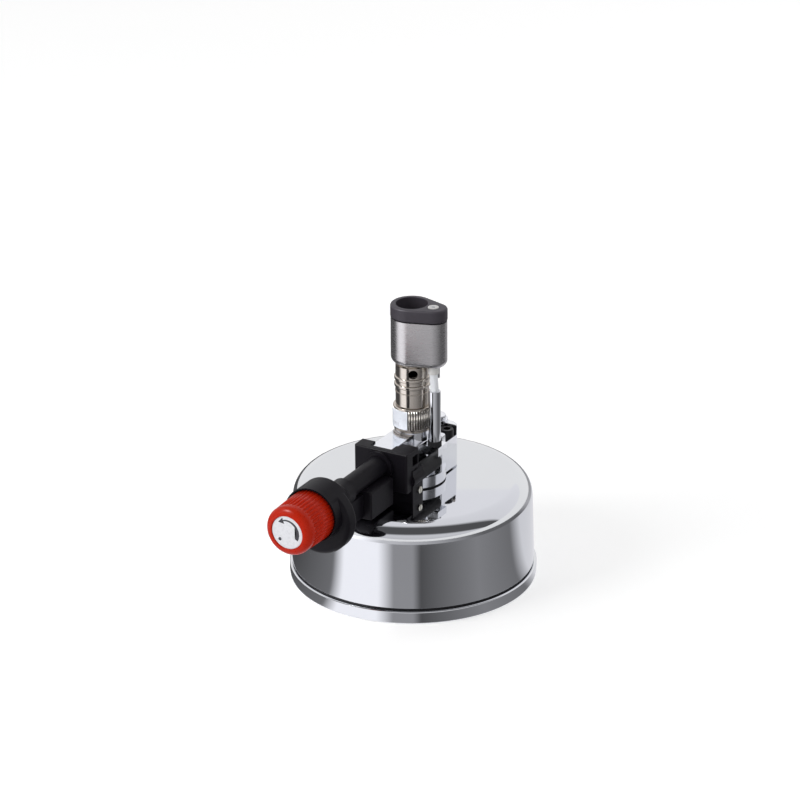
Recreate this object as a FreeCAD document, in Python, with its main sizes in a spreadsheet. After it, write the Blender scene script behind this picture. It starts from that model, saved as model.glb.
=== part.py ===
import FreeCAD, Part
import math
import os
import re
import Sketcher

# A refillable table-top gas burner: a chrome tank, a die-cast burner block with a nickel tube and
# a drop-shaped head, and a push-and-turn knob in front that opens the gas and strikes the igniter.
# Millimetres. The origin is on the table under the tube axis, +Z is up and the knob points to -Y.

os.makedirs("parts", exist_ok=True)
doc = FreeCAD.newDocument("gas_burner")
sheet = doc.addObject("Spreadsheet::Sheet", "Sizes")
Vector = FreeCAD.Vector

DRIVING_SIZES = [
    ("fit_gap", 0.05), ("slip_gap", 0.3),
    ("pad_height", 2.4), ("pad_port_radius", 6.6),
    ("pan_radius", 40.0), ("pan_height", 4.5), ("pan_lift", 0.2), ("pan_rim", 2.6),
    ("pan_floor", 1.2), ("pan_edge", 0.5),
    ("seam_height", 0.6), ("seam_width", 1.4), ("seam_inset", 0.4),
    ("shell_radius", 39.2), ("shell_top_radius", 38.4), ("shell_height", 27.9),
    ("shell_wall", 1.2), ("shell_round", 6.0),
    ("tank_gap", 2.2), ("tank_height", 24.4), ("tank_wall", 1.6), ("tank_floor", 2.0),
    ("lid_height", 2.0), ("lid_boss_radius", 24.0),
    ("outlet_radius", 4.0), ("outlet_bore", 1.2), ("outlet_collar_radius", 7.0),
    ("outlet_collar_height", 2.0), ("outlet_reach", 2.6),
    ("pickup_radius", 1.6), ("pickup_bore", 0.8), ("pickup_lift", 1.0),
    ("filter_radius", 3.2), ("filter_height", 4.0),
    ("filler_offset", 18.0), ("filler_radius", 3.6), ("filler_flange_radius", 5.5),
    ("filler_flange_height", 1.4), ("filler_tip", 0.9), ("filler_rise", 5.0),
    ("filler_chamber_radius", 2.4), ("filler_shoulder", 2.0), ("filler_seal_height", 0.8),
    ("filler_stem_radius", 1.3), ("filler_stem_tip", 0.5), ("filler_collar_height", 1.0),
    ("filler_collar_play", 0.15), ("filler_guide_length", 3.4), ("filler_clip_height", 0.8),
    ("filler_spring_wire", 0.5), ("filler_nut_radius", 5.4), ("filler_nut_height", 1.2),
    ("gasket_height", 0.5), ("gasket_inset", 0.4),
    ("flange_radius", 10.7), ("flange_height", 3.5), ("block_height", 10.3),
    ("block_left", 8.3), ("block_right", 5.7), ("block_front", 11.7), ("block_edge", 0.6),
    ("rear_half_width", 8.3), ("rear_start", 4.0), ("rear_end", 17.2), ("rear_round", 3.6),
    ("notch_drop", 3.3), ("notch_width", 4.6), ("notch_start", 6.6), ("notch_end", 14.2),
    ("screw_offset", 6.0), ("screw_station", 11.9), ("screw_head_radius", 2.2),
    ("screw_head_height", 2.6), ("screw_radius", 1.25), ("screw_length", 7.0),
    ("screw_socket_radius", 1.25), ("screw_socket_depth", 1.4),
    ("seat_radius", 5.6), ("seat_height", 3.2),
    ("boss_radius", 3.5), ("boss_height", 0.8), ("boss_offset", 0.9), ("boss_station", 14.8),
    ("boss_cap_height", 1.4), ("boss_cap_inset", 0.7),
    ("tongue_left", 4.3), ("tongue_right", 3.2), ("tongue_height", 3.0), ("tongue_reach", 19.4),
    ("lug_reach", 11.0), ("lug_half_width", 2.9), ("lug_drop", 1.0), ("lug_height", 2.95),
    ("tube_radius", 4.6), ("tube_bore", 3.6), ("tube_sink", 4.0), ("tube_length", 40.6),
    ("jet_radius", 2.2), ("jet_sink", 3.4), ("jet_rise", 2.6), ("jet_tip_radius", 1.3),
    ("jet_tip_height", 1.4), ("jet_bore", 0.3), ("passage_radius", 1.0),
    ("washer_radius", 5.9), ("washer_height", 0.6),
    ("ring_radius", 6.2), ("ring_height", 7.6), ("ring_play", 0.1), ("ring_edge", 0.4),
    ("sleeve_radius", 5.35), ("sleeve_height", 13.6), ("bead_radius", 5.75), ("bead_height", 1.3),
    ("upper_bead_drop", 5.0), ("lower_bead_drop", 7.4), ("air_hole_radius", 1.5),
    ("air_hole_drop", 1.9), ("air_hole_turn", 32.0),
    ("shroud_radius", 6.75), ("shroud_nose_radius", 4.4), ("nose_offset", 7.7),
    ("shroud_height", 15.5), ("shroud_wall", 0.7), ("shroud_edge", 2.4),
    ("shroud_lift", 0.6),
    ("cap_radius", 6.85), ("cap_nose_radius", 4.5), ("cap_height", 3.9), ("cap_edge", 0.7),
    ("cap_neck_height", 2.0), ("cap_seam", 0.45), ("cap_bore", 5.1),
    ("screen_height", 0.8), ("screen_drop", 5.0), ("screen_hole_radius", 0.55),
    ("screen_hole_circle", 2.1),
    ("insulator_radius", 1.75), ("insulator_hang", 2.6), ("insulator_proud", 0.15),
    ("electrode_radius", 0.5), ("electrode_sink", 4.0),
    ("clip_width", 1.4), ("clip_thick", 0.7), ("clip_drop", 5.0), ("clip_offset", 2.3),
    ("lead_offset", 8.4), ("lead_station", 0.6), ("lead_radius", 1.3), ("lead_bend", 2.6),
    ("lead_start", 14.0),
    ("gland_radius", 2.25), ("gland_height", 1.5), ("gland_socket", 0.7),
    ("conduit_radius", 1.95), ("conduit_length", 17.9),
    ("boot_radius", 2.6), ("boot_drop", 5.6), ("boot_end", 1.3),
    ("plate_left", 9.0), ("plate_right", 9.9), ("plate_front", 21.5), ("plate_thick", 5.3),
    ("plate_height", 13.3), ("plate_top", 17.8), ("plate_edge", 0.5), ("ear_left", 4.0),
    ("ear_depth", 2.3), ("ear_height", 6.5),
    ("saddle_left", 9.0), ("saddle_right", 10.2), ("saddle_front", 18.2), ("saddle_height", 11.0),
    ("slot_length", 3.3), ("slot_height", 3.3), ("slot_depth", 2.0), ("slot_drop", 1.9),
    ("slot_setback", 3.8),
    ("side_screw_station", 14.0), ("side_screw_height", 3.3), ("side_screw_radius", 1.15),
    ("side_screw_head_height", 0.5), ("side_screw_length", 5.0), ("side_screw_shank", 0.75),
    ("side_screw_slot", 0.35),
    ("axis_height", 12.5), ("rod_radius", 1.4), ("rod_bore", 1.5),
    ("barrel_radius", 3.4), ("arch_radius", 4.9), ("arch_reach", 1.1),
    ("box_half_width", 6.0), ("box_front", 37.2), ("box_rear", 23.4), ("box_bottom", 0.9),
    ("box_top", 10.3), ("box_edge", 0.6), ("bridge_half_width", 2.4),
    ("nose_half_width", 3.2), ("nose_bottom", 1.8), ("nose_top", 9.4),
    ("piezo_radius", 2.5), ("piezo_length", 10.0), ("piezo_height", 5.6),
    ("piezo_setback", 2.4),
    ("guard_front", 64.0), ("guard_collar_wall", 0.4), ("guard_cup_radius", 8.6),
    ("guard_cup_depth", 8.4), ("guard_floor", 1.0), ("guard_radius", 11.3), ("guard_depth", 6.0),
    ("guard_drop", 3.1), ("guard_edge", 1.6), ("neck_radius", 7.6), ("neck_end_radius", 4.4),
    ("neck_run", 7.0), ("neck_sleeve", 4.0),
    ("knob_face", 78.0), ("knob_face_radius", 7.9), ("knob_base_radius", 8.3),
    ("knob_length", 15.5), ("knob_edge", 2.2), ("knob_cavity_radius", 6.4),
    ("knob_cavity_depth", 7.0), ("knob_hub_radius", 3.0), ("knob_hub_length", 12.0),
    ("badge_radius", 5.35), ("badge_sink", 0.35), ("badge_thick", 0.4),
    ("knob_screw_radius", 2.0), ("knob_screw_head", 1.2), ("knob_screw_play", 0.2),
    ("knob_screw_shank", 0.8), ("knob_screw_length", 5.0),
    ("spring_radius", 4.4), ("spring_wire", 0.7),
    ("stem_radius", 1.1), ("stem_length", 7.9), ("rod_end", 17.6),
    ("valve_seat_radius", 2.5), ("valve_seat_length", 6.0),
]
for row, (alias, size) in enumerate(DRIVING_SIZES, start=1):
    sheet.set(f"A{row}", str(size))
    sheet.setAlias(f"A{row}", alias)
doc.recompute()
ALIASES = {alias for alias, _ in DRIVING_SIZES}
WORD = re.compile(r"[A-Za-z_]\w*")
TURNS = {
    "z": FreeCAD.Rotation(),
    "y": FreeCAD.Rotation(Vector(1, 0, 0), -90),
    "x": FreeCAD.Rotation(Vector(0, 1, 0), 90),
}
nodes = []


def formula(text):
    """A size written in plain aliases, as the document's own expression."""
    return WORD.sub(lambda m: "Sizes." + m.group() if m.group() in ALIASES else m.group(), str(text))


def number(text):
    """What such a size comes to now, for placing a first sketch point or finding an edge."""
    return float(sheet.evalExpression(formula(text)))


def bind(thing, prop, text):
    thing.setExpression(prop, formula(text))


def place(thing, at, axis="z"):
    """Stands a piece's own Z along the axis, with its start at the given point."""
    thing.Placement = FreeCAD.Placement(Vector(*(number(text) for text in at)), TURNS[axis])
    for letter, text in zip("xyz", at):
        bind(thing, f"Placement.Base.{letter}", text)


def node(thing, label):
    """Marks a finished sub-part: its label names its file."""
    thing.Label = label
    nodes.append(thing)
    return thing


def post(radius, height, at, axis="z"):
    thing = doc.addObject("Part::Cylinder", "post")
    bind(thing, "Radius", radius)
    bind(thing, "Height", height)
    place(thing, at, axis)
    return thing


def slab(low, high):
    thing = doc.addObject("Part::Box", "slab")
    for prop, start, end in zip(("Length", "Width", "Height"), low, high):
        bind(thing, prop, f"({end}) - ({start})")
    place(thing, low)
    return thing


def hexagon(corner_radius, height, at, axis="z"):
    thing = doc.addObject("Part::Prism", "hexagon")
    thing.Polygon = 6
    bind(thing, "Circumradius", corner_radius)
    bind(thing, "Height", height)
    place(thing, at, axis)
    return thing


def ball(radius, at):
    thing = doc.addObject("Part::Sphere", "ball")
    bind(thing, "Radius", radius)
    place(thing, at)
    return thing


def join(*pieces):
    thing = doc.addObject("Part::MultiFuse", "join")
    thing.Shapes = list(pieces)
    thing.Refine = True
    return thing


def cut(base, *tools):
    thing = doc.addObject("Part::Cut", "cut")
    thing.Base = base
    thing.Tool = tools[0] if len(tools) == 1 else join(*tools)
    thing.Refine = True
    return thing


def group(*pieces):
    """Separate solids of one kind, such as a set of screws, in one sub-part."""
    thing = doc.addObject("Part::Compound", "group")
    thing.Links = list(pieces)
    return thing


def origin_plane(body, role):
    return next(f for f in body.Origin.OriginFeatures if f.Role == role)


def turned(points, at=("0", "0", "0"), axis="z"):
    """A body turned about its axis from a closed profile of (radius, height) corners."""
    body = doc.addObject("PartDesign::Body", "turned")
    sketch = body.newObject("Sketcher::SketchObject", "profile")
    sketch.AttachmentSupport = (origin_plane(body, "XZ_Plane"), [""])
    sketch.MapMode = "FlatFace"
    corners = [Vector(number(r), number(h), 0) for r, h in points]
    for i, corner in enumerate(corners):
        sketch.addGeometry(Part.LineSegment(corner, corners[(i + 1) % len(corners)]), False)
    for i in range(len(corners)):
        sketch.addConstraint(Sketcher.Constraint("Coincident", i, 2, (i + 1) % len(corners), 1))
    for i, texts in enumerate(points):
        for kind, text, axis_line in zip(("DistanceX", "DistanceY"), texts, (-2, -1)):
            if text == "0":
                sketch.addConstraint(Sketcher.Constraint("PointOnObject", i, 1, axis_line))
                continue
            here = number(text)
            at_corner = sketch.addConstraint(Sketcher.Constraint(kind, -1, 1, i, 1, here))
            bind(sketch, f"Constraints[{at_corner}]", text)
    turn = body.newObject("PartDesign::Revolution", "turn")
    turn.Profile = sketch
    turn.ReferenceAxis = (sketch, ["V_Axis"])
    turn.Angle = 360
    body.Tip = turn
    place(body, at, axis)
    doc.recompute()
    return body


def round_rims(body, radius, *rims):
    """Rounds the circular edges of a turned body that have the given (radius, height)."""
    base = body.Tip
    wanted = [(number(r), number(h)) for r, h in rims]
    names = []
    for i, edge in enumerate(base.Shape.Edges, start=1):
        circle = edge.Curve
        if not isinstance(circle, Part.Circle):
            continue
        if any(abs(circle.Radius - r) < 1e-5 and abs(circle.Center.z - h) < 1e-5 for r, h in wanted):
            names.append(f"Edge{i}")
    rounding = body.newObject("PartDesign::Fillet", "rounding")
    rounding.Base = (base, names)
    bind(rounding, "Radius", radius)
    body.Tip = rounding
    doc.recompute()


def drop_sketch(body, big, small, height):
    """A drop outline: a round part on the tube axis and a nose round the electrode."""
    sketch = body.newObject("Sketcher::SketchObject", "drop")
    sketch.AttachmentSupport = (origin_plane(body, "XY_Plane"), [""])
    sketch.MapMode = "FlatFace"
    bind(sketch, "AttachmentOffset.Base.z", height)
    r, s, d = number(big), number(small), number("nose_offset")
    lean = math.acos((r - s) / d)
    up = Vector(0, 0, 1)
    nose = Vector(d, 0, 0)
    side = Vector(math.cos(lean), math.sin(lean), 0)
    mirror = Vector(side.x, -side.y, 0)
    sketch.addGeometry(Part.ArcOfCircle(Part.Circle(Vector(), up, r), lean, 2 * math.pi - lean), False)
    sketch.addGeometry(Part.LineSegment(mirror * r, nose + mirror * s), False)
    sketch.addGeometry(Part.ArcOfCircle(Part.Circle(nose, up, s), -lean, lean), False)
    sketch.addGeometry(Part.LineSegment(nose + side * s, side * r), False)
    for i in range(4):
        sketch.addConstraint(Sketcher.Constraint("Tangent", i, 2, (i + 1) % 4, 1))
    sketch.addConstraint(Sketcher.Constraint("Coincident", 0, 3, -1, 1))
    sketch.addConstraint(Sketcher.Constraint("PointOnObject", 2, 3, -1))
    for kind, where, text in (
        ("Radius", (0,), big),
        ("Radius", (2,), small),
        ("DistanceX", (-1, 1, 2, 3), "nose_offset"),
    ):
        index = sketch.addConstraint(Sketcher.Constraint(kind, *where, number(text)))
        bind(sketch, f"Constraints[{index}]", text)
    return sketch


def drop_pad(body, big, small, low, height):
    pad = body.newObject("PartDesign::Pad", "pad")
    pad.Profile = drop_sketch(body, big, small, low)
    bind(pad, "Length", height)
    body.Tip = pad
    doc.recompute()
    return pad


def drop_pocket(body, big, small, top, depth):
    """Sinks a drop-shaped hollow from its sketch downwards."""
    before = body.Tip.Shape.Volume
    pocket = body.newObject("PartDesign::Pocket", "pocket")
    pocket.Profile = drop_sketch(body, big, small, top)
    bind(pocket, "Length", depth)
    body.Tip = pocket
    doc.recompute()
    if body.Shape.Volume > before - 1e-3:
        raise RuntimeError("the hollow cut nothing")


def round_level(body, radius, height):
    """Rounds every edge that lies flat at one height."""
    base = body.Tip
    level = number(height)
    names = [
        f"Edge{i}"
        for i, edge in enumerate(base.Shape.Edges, start=1)
        if all(abs(vertex.Z - level) < 1e-5 for vertex in edge.Vertexes)
    ]
    rounding = body.newObject("PartDesign::Fillet", "rounding")
    rounding.Base = (base, names)
    bind(rounding, "Radius", radius)
    body.Tip = rounding
    doc.recompute()


def rounded(base, radius, picks):
    """A rounded copy of a joined piece: the edges that the test picks, at one radius."""
    doc.recompute()
    edges = [i for i, edge in enumerate(base.Shape.Edges, start=1) if picks(edge)]
    thing = doc.addObject("Part::Fillet", "rounded")
    thing.Base = base
    thing.Edges = [(i, number(radius), number(radius)) for i in edges]
    return thing


# Heights of the stack, each from the pieces below it.
tank_z = "(pad_height + pan_floor)"
tank_floor_z = f"({tank_z} + tank_floor)"
lid_z = f"({tank_z} + tank_height)"
shell_z = "(pan_height + seam_height)"
tank_top = f"({shell_z} + shell_height)"
shell_under = f"({tank_top} - shell_wall)"
block_z = f"({tank_top} + gasket_height)"
flange_top = f"({block_z} + flange_height)"
block_top = f"({flange_top} + block_height)"
seat_top = f"({block_top} + seat_height)"
tube_z = f"({seat_top} - tube_sink)"
tube_top = f"({tube_z} + tube_length)"
ring_z = f"({seat_top} + washer_height + ring_play)"
sleeve_z = f"({ring_z} + ring_height + ring_play)"
sleeve_top = f"({sleeve_z} + sleeve_height)"
shroud_z = f"({sleeve_top} + shroud_lift)"
shroud_top = f"({shroud_z} + shroud_height)"
cap_z = f"({shroud_top} + cap_seam)"
cap_top = f"({cap_z} + cap_height)"
axis_z = f"({tank_top} + axis_height)"
rim_inside = "(pan_radius - pan_rim)"
seam_outside = "(shell_radius - seam_inset)"
seam_inside = f"({seam_outside} - seam_width)"
tank_radius = f"(min(shell_top_radius - shell_wall; {seam_inside}; {rim_inside}) - tank_gap)"

# Foot pad: a rubber disc in the underside of the pan, with a port round the filler.
pad_radius = f"({rim_inside} - fit_gap)"
pad = turned([("0", "0"), (pad_radius, "0"), (pad_radius, "pad_height"), ("0", "pad_height")])
port = post("pad_port_radius", "pad_height", ("0", "filler_offset", "0"))
node(cut(pad, port), "foot_pad")

# Base pan: a turned steel pan whose rim shows below the seam.
pan = turned([
    ("0", "pad_height"), (rim_inside, "pad_height"), (rim_inside, "pan_lift"),
    ("pan_radius", "pan_lift"), ("pan_radius", "pan_height"), (rim_inside, "pan_height"),
    (rim_inside, tank_z), ("0", tank_z),
])
round_rims(pan, "pan_edge", ("pan_radius", "pan_lift"), ("pan_radius", "pan_height"))
pan_hole = post("filler_radius + fit_gap", "pan_floor", ("0", "filler_offset", "pad_height"))
node(cut(pan, pan_hole), "base_pan")

# Seam gasket: the dark line between the rim and the shell.
node(turned([
    (seam_inside, "pan_height"), (seam_outside, "pan_height"),
    (seam_outside, shell_z), (seam_inside, shell_z),
]), "seam_gasket")

# Tank shell: a deep-drawn chrome cover, slightly drawn in towards its round shoulder.
outlet_hole = "(outlet_radius + fit_gap)"
shell = turned([
    ("shell_radius - shell_wall", shell_z), ("shell_radius", shell_z),
    ("shell_top_radius", tank_top), (outlet_hole, tank_top),
    (outlet_hole, shell_under), ("shell_top_radius - shell_wall", shell_under),
])
round_rims(shell, "shell_round", ("shell_top_radius", tank_top))
round_rims(shell, "shell_round - shell_wall", ("shell_top_radius - shell_wall", shell_under))
node(shell, "tank_shell")

# Fuel tank inside the shell: a moulded cup and its welded lid.
tank_inside = f"({tank_radius} - tank_wall)"
cup = turned([
    ("0", tank_z), (tank_radius, tank_z), (tank_radius, lid_z), (tank_inside, lid_z),
    (tank_inside, tank_floor_z), ("0", tank_floor_z),
])
cup_hole = post("filler_radius + fit_gap", "tank_floor", ("0", "filler_offset", tank_z))
node(cut(cup, cup_hole), "fuel_tank_cup")
node(turned([
    (outlet_hole, lid_z), (tank_radius, lid_z), (tank_radius, f"{lid_z} + lid_height"),
    ("lid_boss_radius", f"{lid_z} + lid_height"), ("lid_boss_radius", shell_under),
    (outlet_hole, shell_under),
]), "fuel_tank_lid")

# Gas outlet: a hollow brass stem that draws lid, shell and block together, with its pick-up.
collar_z = f"({lid_z} - outlet_collar_height)"
outlet_top = f"({block_z} + outlet_reach)"
node(turned([
    ("outlet_bore", collar_z), ("outlet_collar_radius", collar_z),
    ("outlet_collar_radius", lid_z), ("outlet_radius", lid_z),
    ("outlet_radius", outlet_top), ("outlet_bore", outlet_top),
]), "outlet_stem")
pickup_z = f"({tank_floor_z} + pickup_lift)"
node(turned([
    ("pickup_bore", pickup_z), ("pickup_radius", pickup_z),
    ("pickup_radius", collar_z), ("pickup_bore", collar_z),
]), "pickup_tube")
node(turned([
    ("pickup_radius + fit_gap", tank_floor_z), ("filter_radius", tank_floor_z),
    ("filter_radius", f"{tank_floor_z} + filter_height"),
    ("pickup_radius + fit_gap", f"{tank_floor_z} + filter_height"),
]), "pickup_filter")

# Filler valve under the base: body, nut, seal, sprung stem and the clip that holds the spring.
filler_at = ("0", "filler_offset", "0")
filler_bore = "(filler_stem_radius + fit_gap)"
filler_chamber_z = f"({tank_z} + filler_shoulder)"
filler_flange_top = f"({tank_floor_z} + filler_flange_height)"
filler_top = f"({filler_flange_top} + filler_rise)"
node(turned([
    (filler_bore, "filler_tip"), ("filler_radius", "filler_tip"), ("filler_radius", tank_floor_z),
    ("filler_flange_radius", tank_floor_z), ("filler_flange_radius", filler_flange_top),
    ("filler_radius", filler_flange_top), ("filler_radius", filler_top),
    ("filler_chamber_radius", filler_top), ("filler_chamber_radius", filler_chamber_z),
    (filler_bore, filler_chamber_z),
], filler_at), "filler_body")
nut_z = "pad_height - filler_nut_height"
nut = hexagon("filler_nut_radius", "filler_nut_height", ("0", "filler_offset", nut_z))
nut_bore = post("filler_radius + fit_gap", "filler_nut_height", ("0", "filler_offset", nut_z))
node(cut(nut, nut_bore), "filler_nut")
seal_top = f"({filler_chamber_z} + filler_seal_height)"
node(turned([
    (filler_bore, filler_chamber_z), ("filler_chamber_radius - fit_gap", filler_chamber_z),
    ("filler_chamber_radius - fit_gap", seal_top), (filler_bore, seal_top),
], filler_at), "filler_seal")
stem_collar_z = f"({seal_top} + fit_gap)"
stem_collar_top = f"({stem_collar_z} + filler_collar_height)"
stem_collar_radius = "(filler_chamber_radius - filler_collar_play)"
node(turned([
    ("0", "filler_stem_tip"), ("filler_stem_radius", "filler_stem_tip"),
    ("filler_stem_radius", stem_collar_z), (stem_collar_radius, stem_collar_z),
    (stem_collar_radius, stem_collar_top), ("filler_stem_radius", stem_collar_top),
    ("filler_stem_radius", f"{stem_collar_top} + filler_guide_length"),
    ("0", f"{stem_collar_top} + filler_guide_length"),
], filler_at), "filler_stem")
clip_z = f"({filler_top} - filler_clip_height)"
node(turned([
    ("filler_stem_radius + slip_gap", clip_z), ("filler_chamber_radius - fit_gap", clip_z),
    ("filler_chamber_radius - fit_gap", filler_top), ("filler_stem_radius + slip_gap", filler_top),
], filler_at), "filler_clip")
spring_outside = "(filler_chamber_radius - slip_gap)"
node(turned([
    (f"{spring_outside} - filler_spring_wire", stem_collar_top), (spring_outside, stem_collar_top),
    (spring_outside, clip_z), (f"{spring_outside} - filler_spring_wire", clip_z),
], filler_at), "filler_spring")

# The ignition lead's route: out of the bracket, up through the lug and the conduit, and over to
# the electrode in two arcs that cancel. A thicker copy of it bores the pieces it passes through.
lead_low_z = number(f"{block_top} - lug_drop - boot_drop")
lead_foot = Vector(number("lead_offset"), -number("lead_start"), lead_low_z)
conduit_z = f"({block_top} - lug_drop + gland_height - gland_socket)"
conduit_top = f"({conduit_z} + conduit_length)"
lead_end_z = f"({shroud_z} - insulator_hang)"


def lead_solid(radius):
    foot, bend = lead_foot, number("lead_bend")
    station = -number("lead_station")
    leave = Vector(foot.x, station, number(conduit_top))
    end = Vector(number("nose_offset"), 0, number(lead_end_z))
    rise = end.z - leave.z
    across = Vector(end.x - leave.x, end.y - leave.y, 0)
    over = across.Length
    across.normalize()
    lean = 2 * math.atan2(over, rise)
    sway = rise / (2 * math.sin(lean))
    half_step = across * (sway * (1 - math.cos(lean / 2))) + Vector(0, 0, sway * math.sin(lean / 2))
    bend_in = Vector(foot.x, station - bend, foot.z)
    bend_mid = bend_in + Vector(0, bend * math.sqrt(0.5), bend * (1 - math.sqrt(0.5)))
    bend_out = Vector(foot.x, station, foot.z + bend)
    middle = (leave + end) * 0.5
    edges = [
        Part.LineSegment(foot, bend_in).toShape(),
        Part.Arc(bend_in, bend_mid, bend_out).toShape(),
        Part.LineSegment(bend_out, leave).toShape(),
        Part.Arc(leave, leave + half_step, middle).toShape(),
        Part.Arc(middle, end - half_step, end).toShape(),
    ]
    path = Part.Wire(edges)
    section = Part.Wire(Part.Circle(foot, Vector(0, 1, 0), radius).toShape())
    return path.makePipeShell([section], True, False), path.Length, sway


lead_shape, lead_length, lead_sway = lead_solid(number("lead_radius"))
print(f"ignition lead: {lead_length:.1f} mm long, bends {number('lead_bend'):.1f} and {lead_sway:.1f} mm")
lead = doc.addObject("Part::Feature", "lead")
lead.Shape = lead_shape
node(lead, "ignition_lead")
lead_bore = doc.addObject("Part::Feature", "lead_bore")
lead_bore.Shape = lead_solid(number("lead_radius + fit_gap"))[0]

# Gasket and chrome burner block: a round flange, a body, a rear end with two screw notches, a seat
# for the tube, a tongue that carries the bracket and a lug that carries the conduit.
node(turned([
    (outlet_hole, tank_top), ("flange_radius - gasket_inset", tank_top),
    ("flange_radius - gasket_inset", block_z), (outlet_hole, block_z),
]), "block_gasket")
flange = post("flange_radius", "flange_height", ("0", "0", block_z))
body = slab(("-block_left", "-block_front", flange_top), ("block_right", "rear_start", block_top))
rear = rounded(
    slab(("-rear_half_width", "rear_start", block_z), ("rear_half_width", "rear_end", block_top)),
    "rear_round",
    lambda edge: all(abs(vertex.Y - number("rear_end")) < 1e-5 for vertex in edge.Vertexes)
    and abs(edge.Vertexes[0].Z - edge.Vertexes[1].Z) > 1e-5,
)
seat = post("seat_radius", "seat_height", ("0", "0", block_top))
boss = post(
    "boss_radius", "block_height + boss_height", ("boss_offset", "boss_station", flange_top)
)
tongue = slab(
    ("-tongue_left", "-tongue_reach", block_top),
    ("tongue_right", "-seat_radius / 2", f"{block_top} + tongue_height"),
)
lug = slab(
    ("block_right - block_edge", "-lug_half_width", f"{block_top} - lug_drop - lug_height"),
    ("lug_reach", "lug_half_width", f"{block_top} - lug_drop"),
)
notches = [
    slab(
        (low, "notch_start", f"{block_top} - notch_drop"),
        (high, "notch_end", f"{block_top} + block_edge"),
    )
    for low, high in (
        ("rear_half_width - notch_width", "rear_half_width + block_edge"),
        ("-rear_half_width - block_edge", "-rear_half_width + notch_width"),
    )
]
screw_z = f"({block_top} - notch_drop)"
screw_holes = [
    post("screw_radius + fit_gap", "screw_length", (x, "screw_station", f"{screw_z} - screw_length"))
    for x in ("screw_offset", "-screw_offset")
]
outlet_socket = post(outlet_hole, "outlet_reach", ("0", "0", block_z))
jet_z = f"({tube_z} - jet_sink)"
passage = post("passage_radius", f"{jet_z} - {outlet_top}", ("0", "0", outlet_top))
jet_socket = post("jet_radius + fit_gap", "jet_sink", ("0", "0", jet_z))
tube_socket = post("tube_radius + fit_gap", "tube_sink", ("0", "0", tube_z))
valve_bore = post("valve_seat_radius + fit_gap", "valve_seat_length", ("0", "-block_front", axis_z), "y")
stem_way_y = "(-block_front + valve_seat_length)"
stem_way = post("stem_radius + slip_gap", f"-jet_radius - {stem_way_y}", ("0", stem_way_y, axis_z), "y")
rod_way = post(
    "rod_radius + slip_gap", "tongue_reach - block_front", ("0", "-tongue_reach", axis_z), "y"
)
block_blank = rounded(
    join(flange, body, rear),
    "block_edge",
    lambda edge: isinstance(edge.Curve, Part.Line)
    and all(vertex.Z > number(flange_top) - 1e-5 for vertex in edge.Vertexes)
    and min(abs(vertex.Z - number(block_top)) for vertex in edge.Vertexes) < 1e-5,
)
block = cut(
    join(cut(block_blank, *notches), seat, boss, tongue, lug),
    *screw_holes, outlet_socket, passage, jet_socket, tube_socket, valve_bore, stem_way,
    rod_way, lead_bore,
)
node(block, "burner_block")
boss_cap_z = f"({block_top} + boss_height)"
boss_cap_radius = "boss_radius - boss_cap_inset"
node(
    post(boss_cap_radius, "boss_cap_height", ("boss_offset", "boss_station", boss_cap_z)),
    "regulator_cap",
)


def socket_screw(x):
    head = post("screw_head_radius", "screw_head_height", (x, "screw_station", screw_z))
    shank = post("screw_radius", "screw_length", (x, "screw_station", f"{screw_z} - screw_length"))
    socket_z = f"{screw_z} + screw_head_height - screw_socket_depth"
    socket = hexagon("screw_socket_radius", "screw_socket_depth", (x, "screw_station", socket_z))
    return cut(join(head, shank), socket)


node(group(socket_screw("screw_offset"), socket_screw("-screw_offset")), "block_screws")

# Gas jet in the foot of the tube.
jet_shoulder = f"({tube_z} + jet_rise)"
jet_top = f"({jet_shoulder} + jet_tip_height)"
node(turned([
    ("jet_bore", jet_z), ("jet_radius", jet_z), ("jet_radius", jet_shoulder),
    ("jet_tip_radius", jet_shoulder), ("jet_tip_radius", jet_top), ("jet_bore", jet_top),
]), "gas_jet")

# Burner tube with its air holes, and the fine screen that holds the flame.
air_z = f"({sleeve_top} - air_hole_drop)"


def air_drill(reach):
    """A drill across the tube axis, turned towards the side where the air hole faces."""
    drill = doc.addObject("Part::Cylinder", "air_drill")
    bind(drill, "Radius", "air_hole_radius")
    bind(drill, "Height", f"2 * ({reach})")
    bind(drill, "Placement.Base.z", air_z)
    across = FreeCAD.Rotation(Vector(0, 0, 1), number("air_hole_turn")) * TURNS["y"]
    middle = across.multVec(Vector(0, 0, -number(reach)))
    drill.Placement = FreeCAD.Placement(Vector(middle.x, middle.y, number(air_z)), across)
    return drill


tube = turned([
    ("tube_bore", tube_z), ("tube_radius", tube_z), ("tube_radius", tube_top), ("tube_bore", tube_top),
])
node(cut(tube, air_drill("tube_radius + slip_gap")), "burner_tube")
screen_z = f"({tube_top} - screen_drop)"
screen = post("tube_bore - fit_gap", "screen_height", ("0", "0", screen_z))
screen_holes = [post("screen_hole_radius", "screen_height", ("0", "0", screen_z))]
for turn in range(6):
    x = f"screen_hole_circle * cos({turn * 60} deg)"
    y = f"screen_hole_circle * sin({turn * 60} deg)"
    screen_holes.append(post("screen_hole_radius", "screen_height", (x, y, screen_z)))
node(cut(screen, *screen_holes), "flame_screen")

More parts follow.
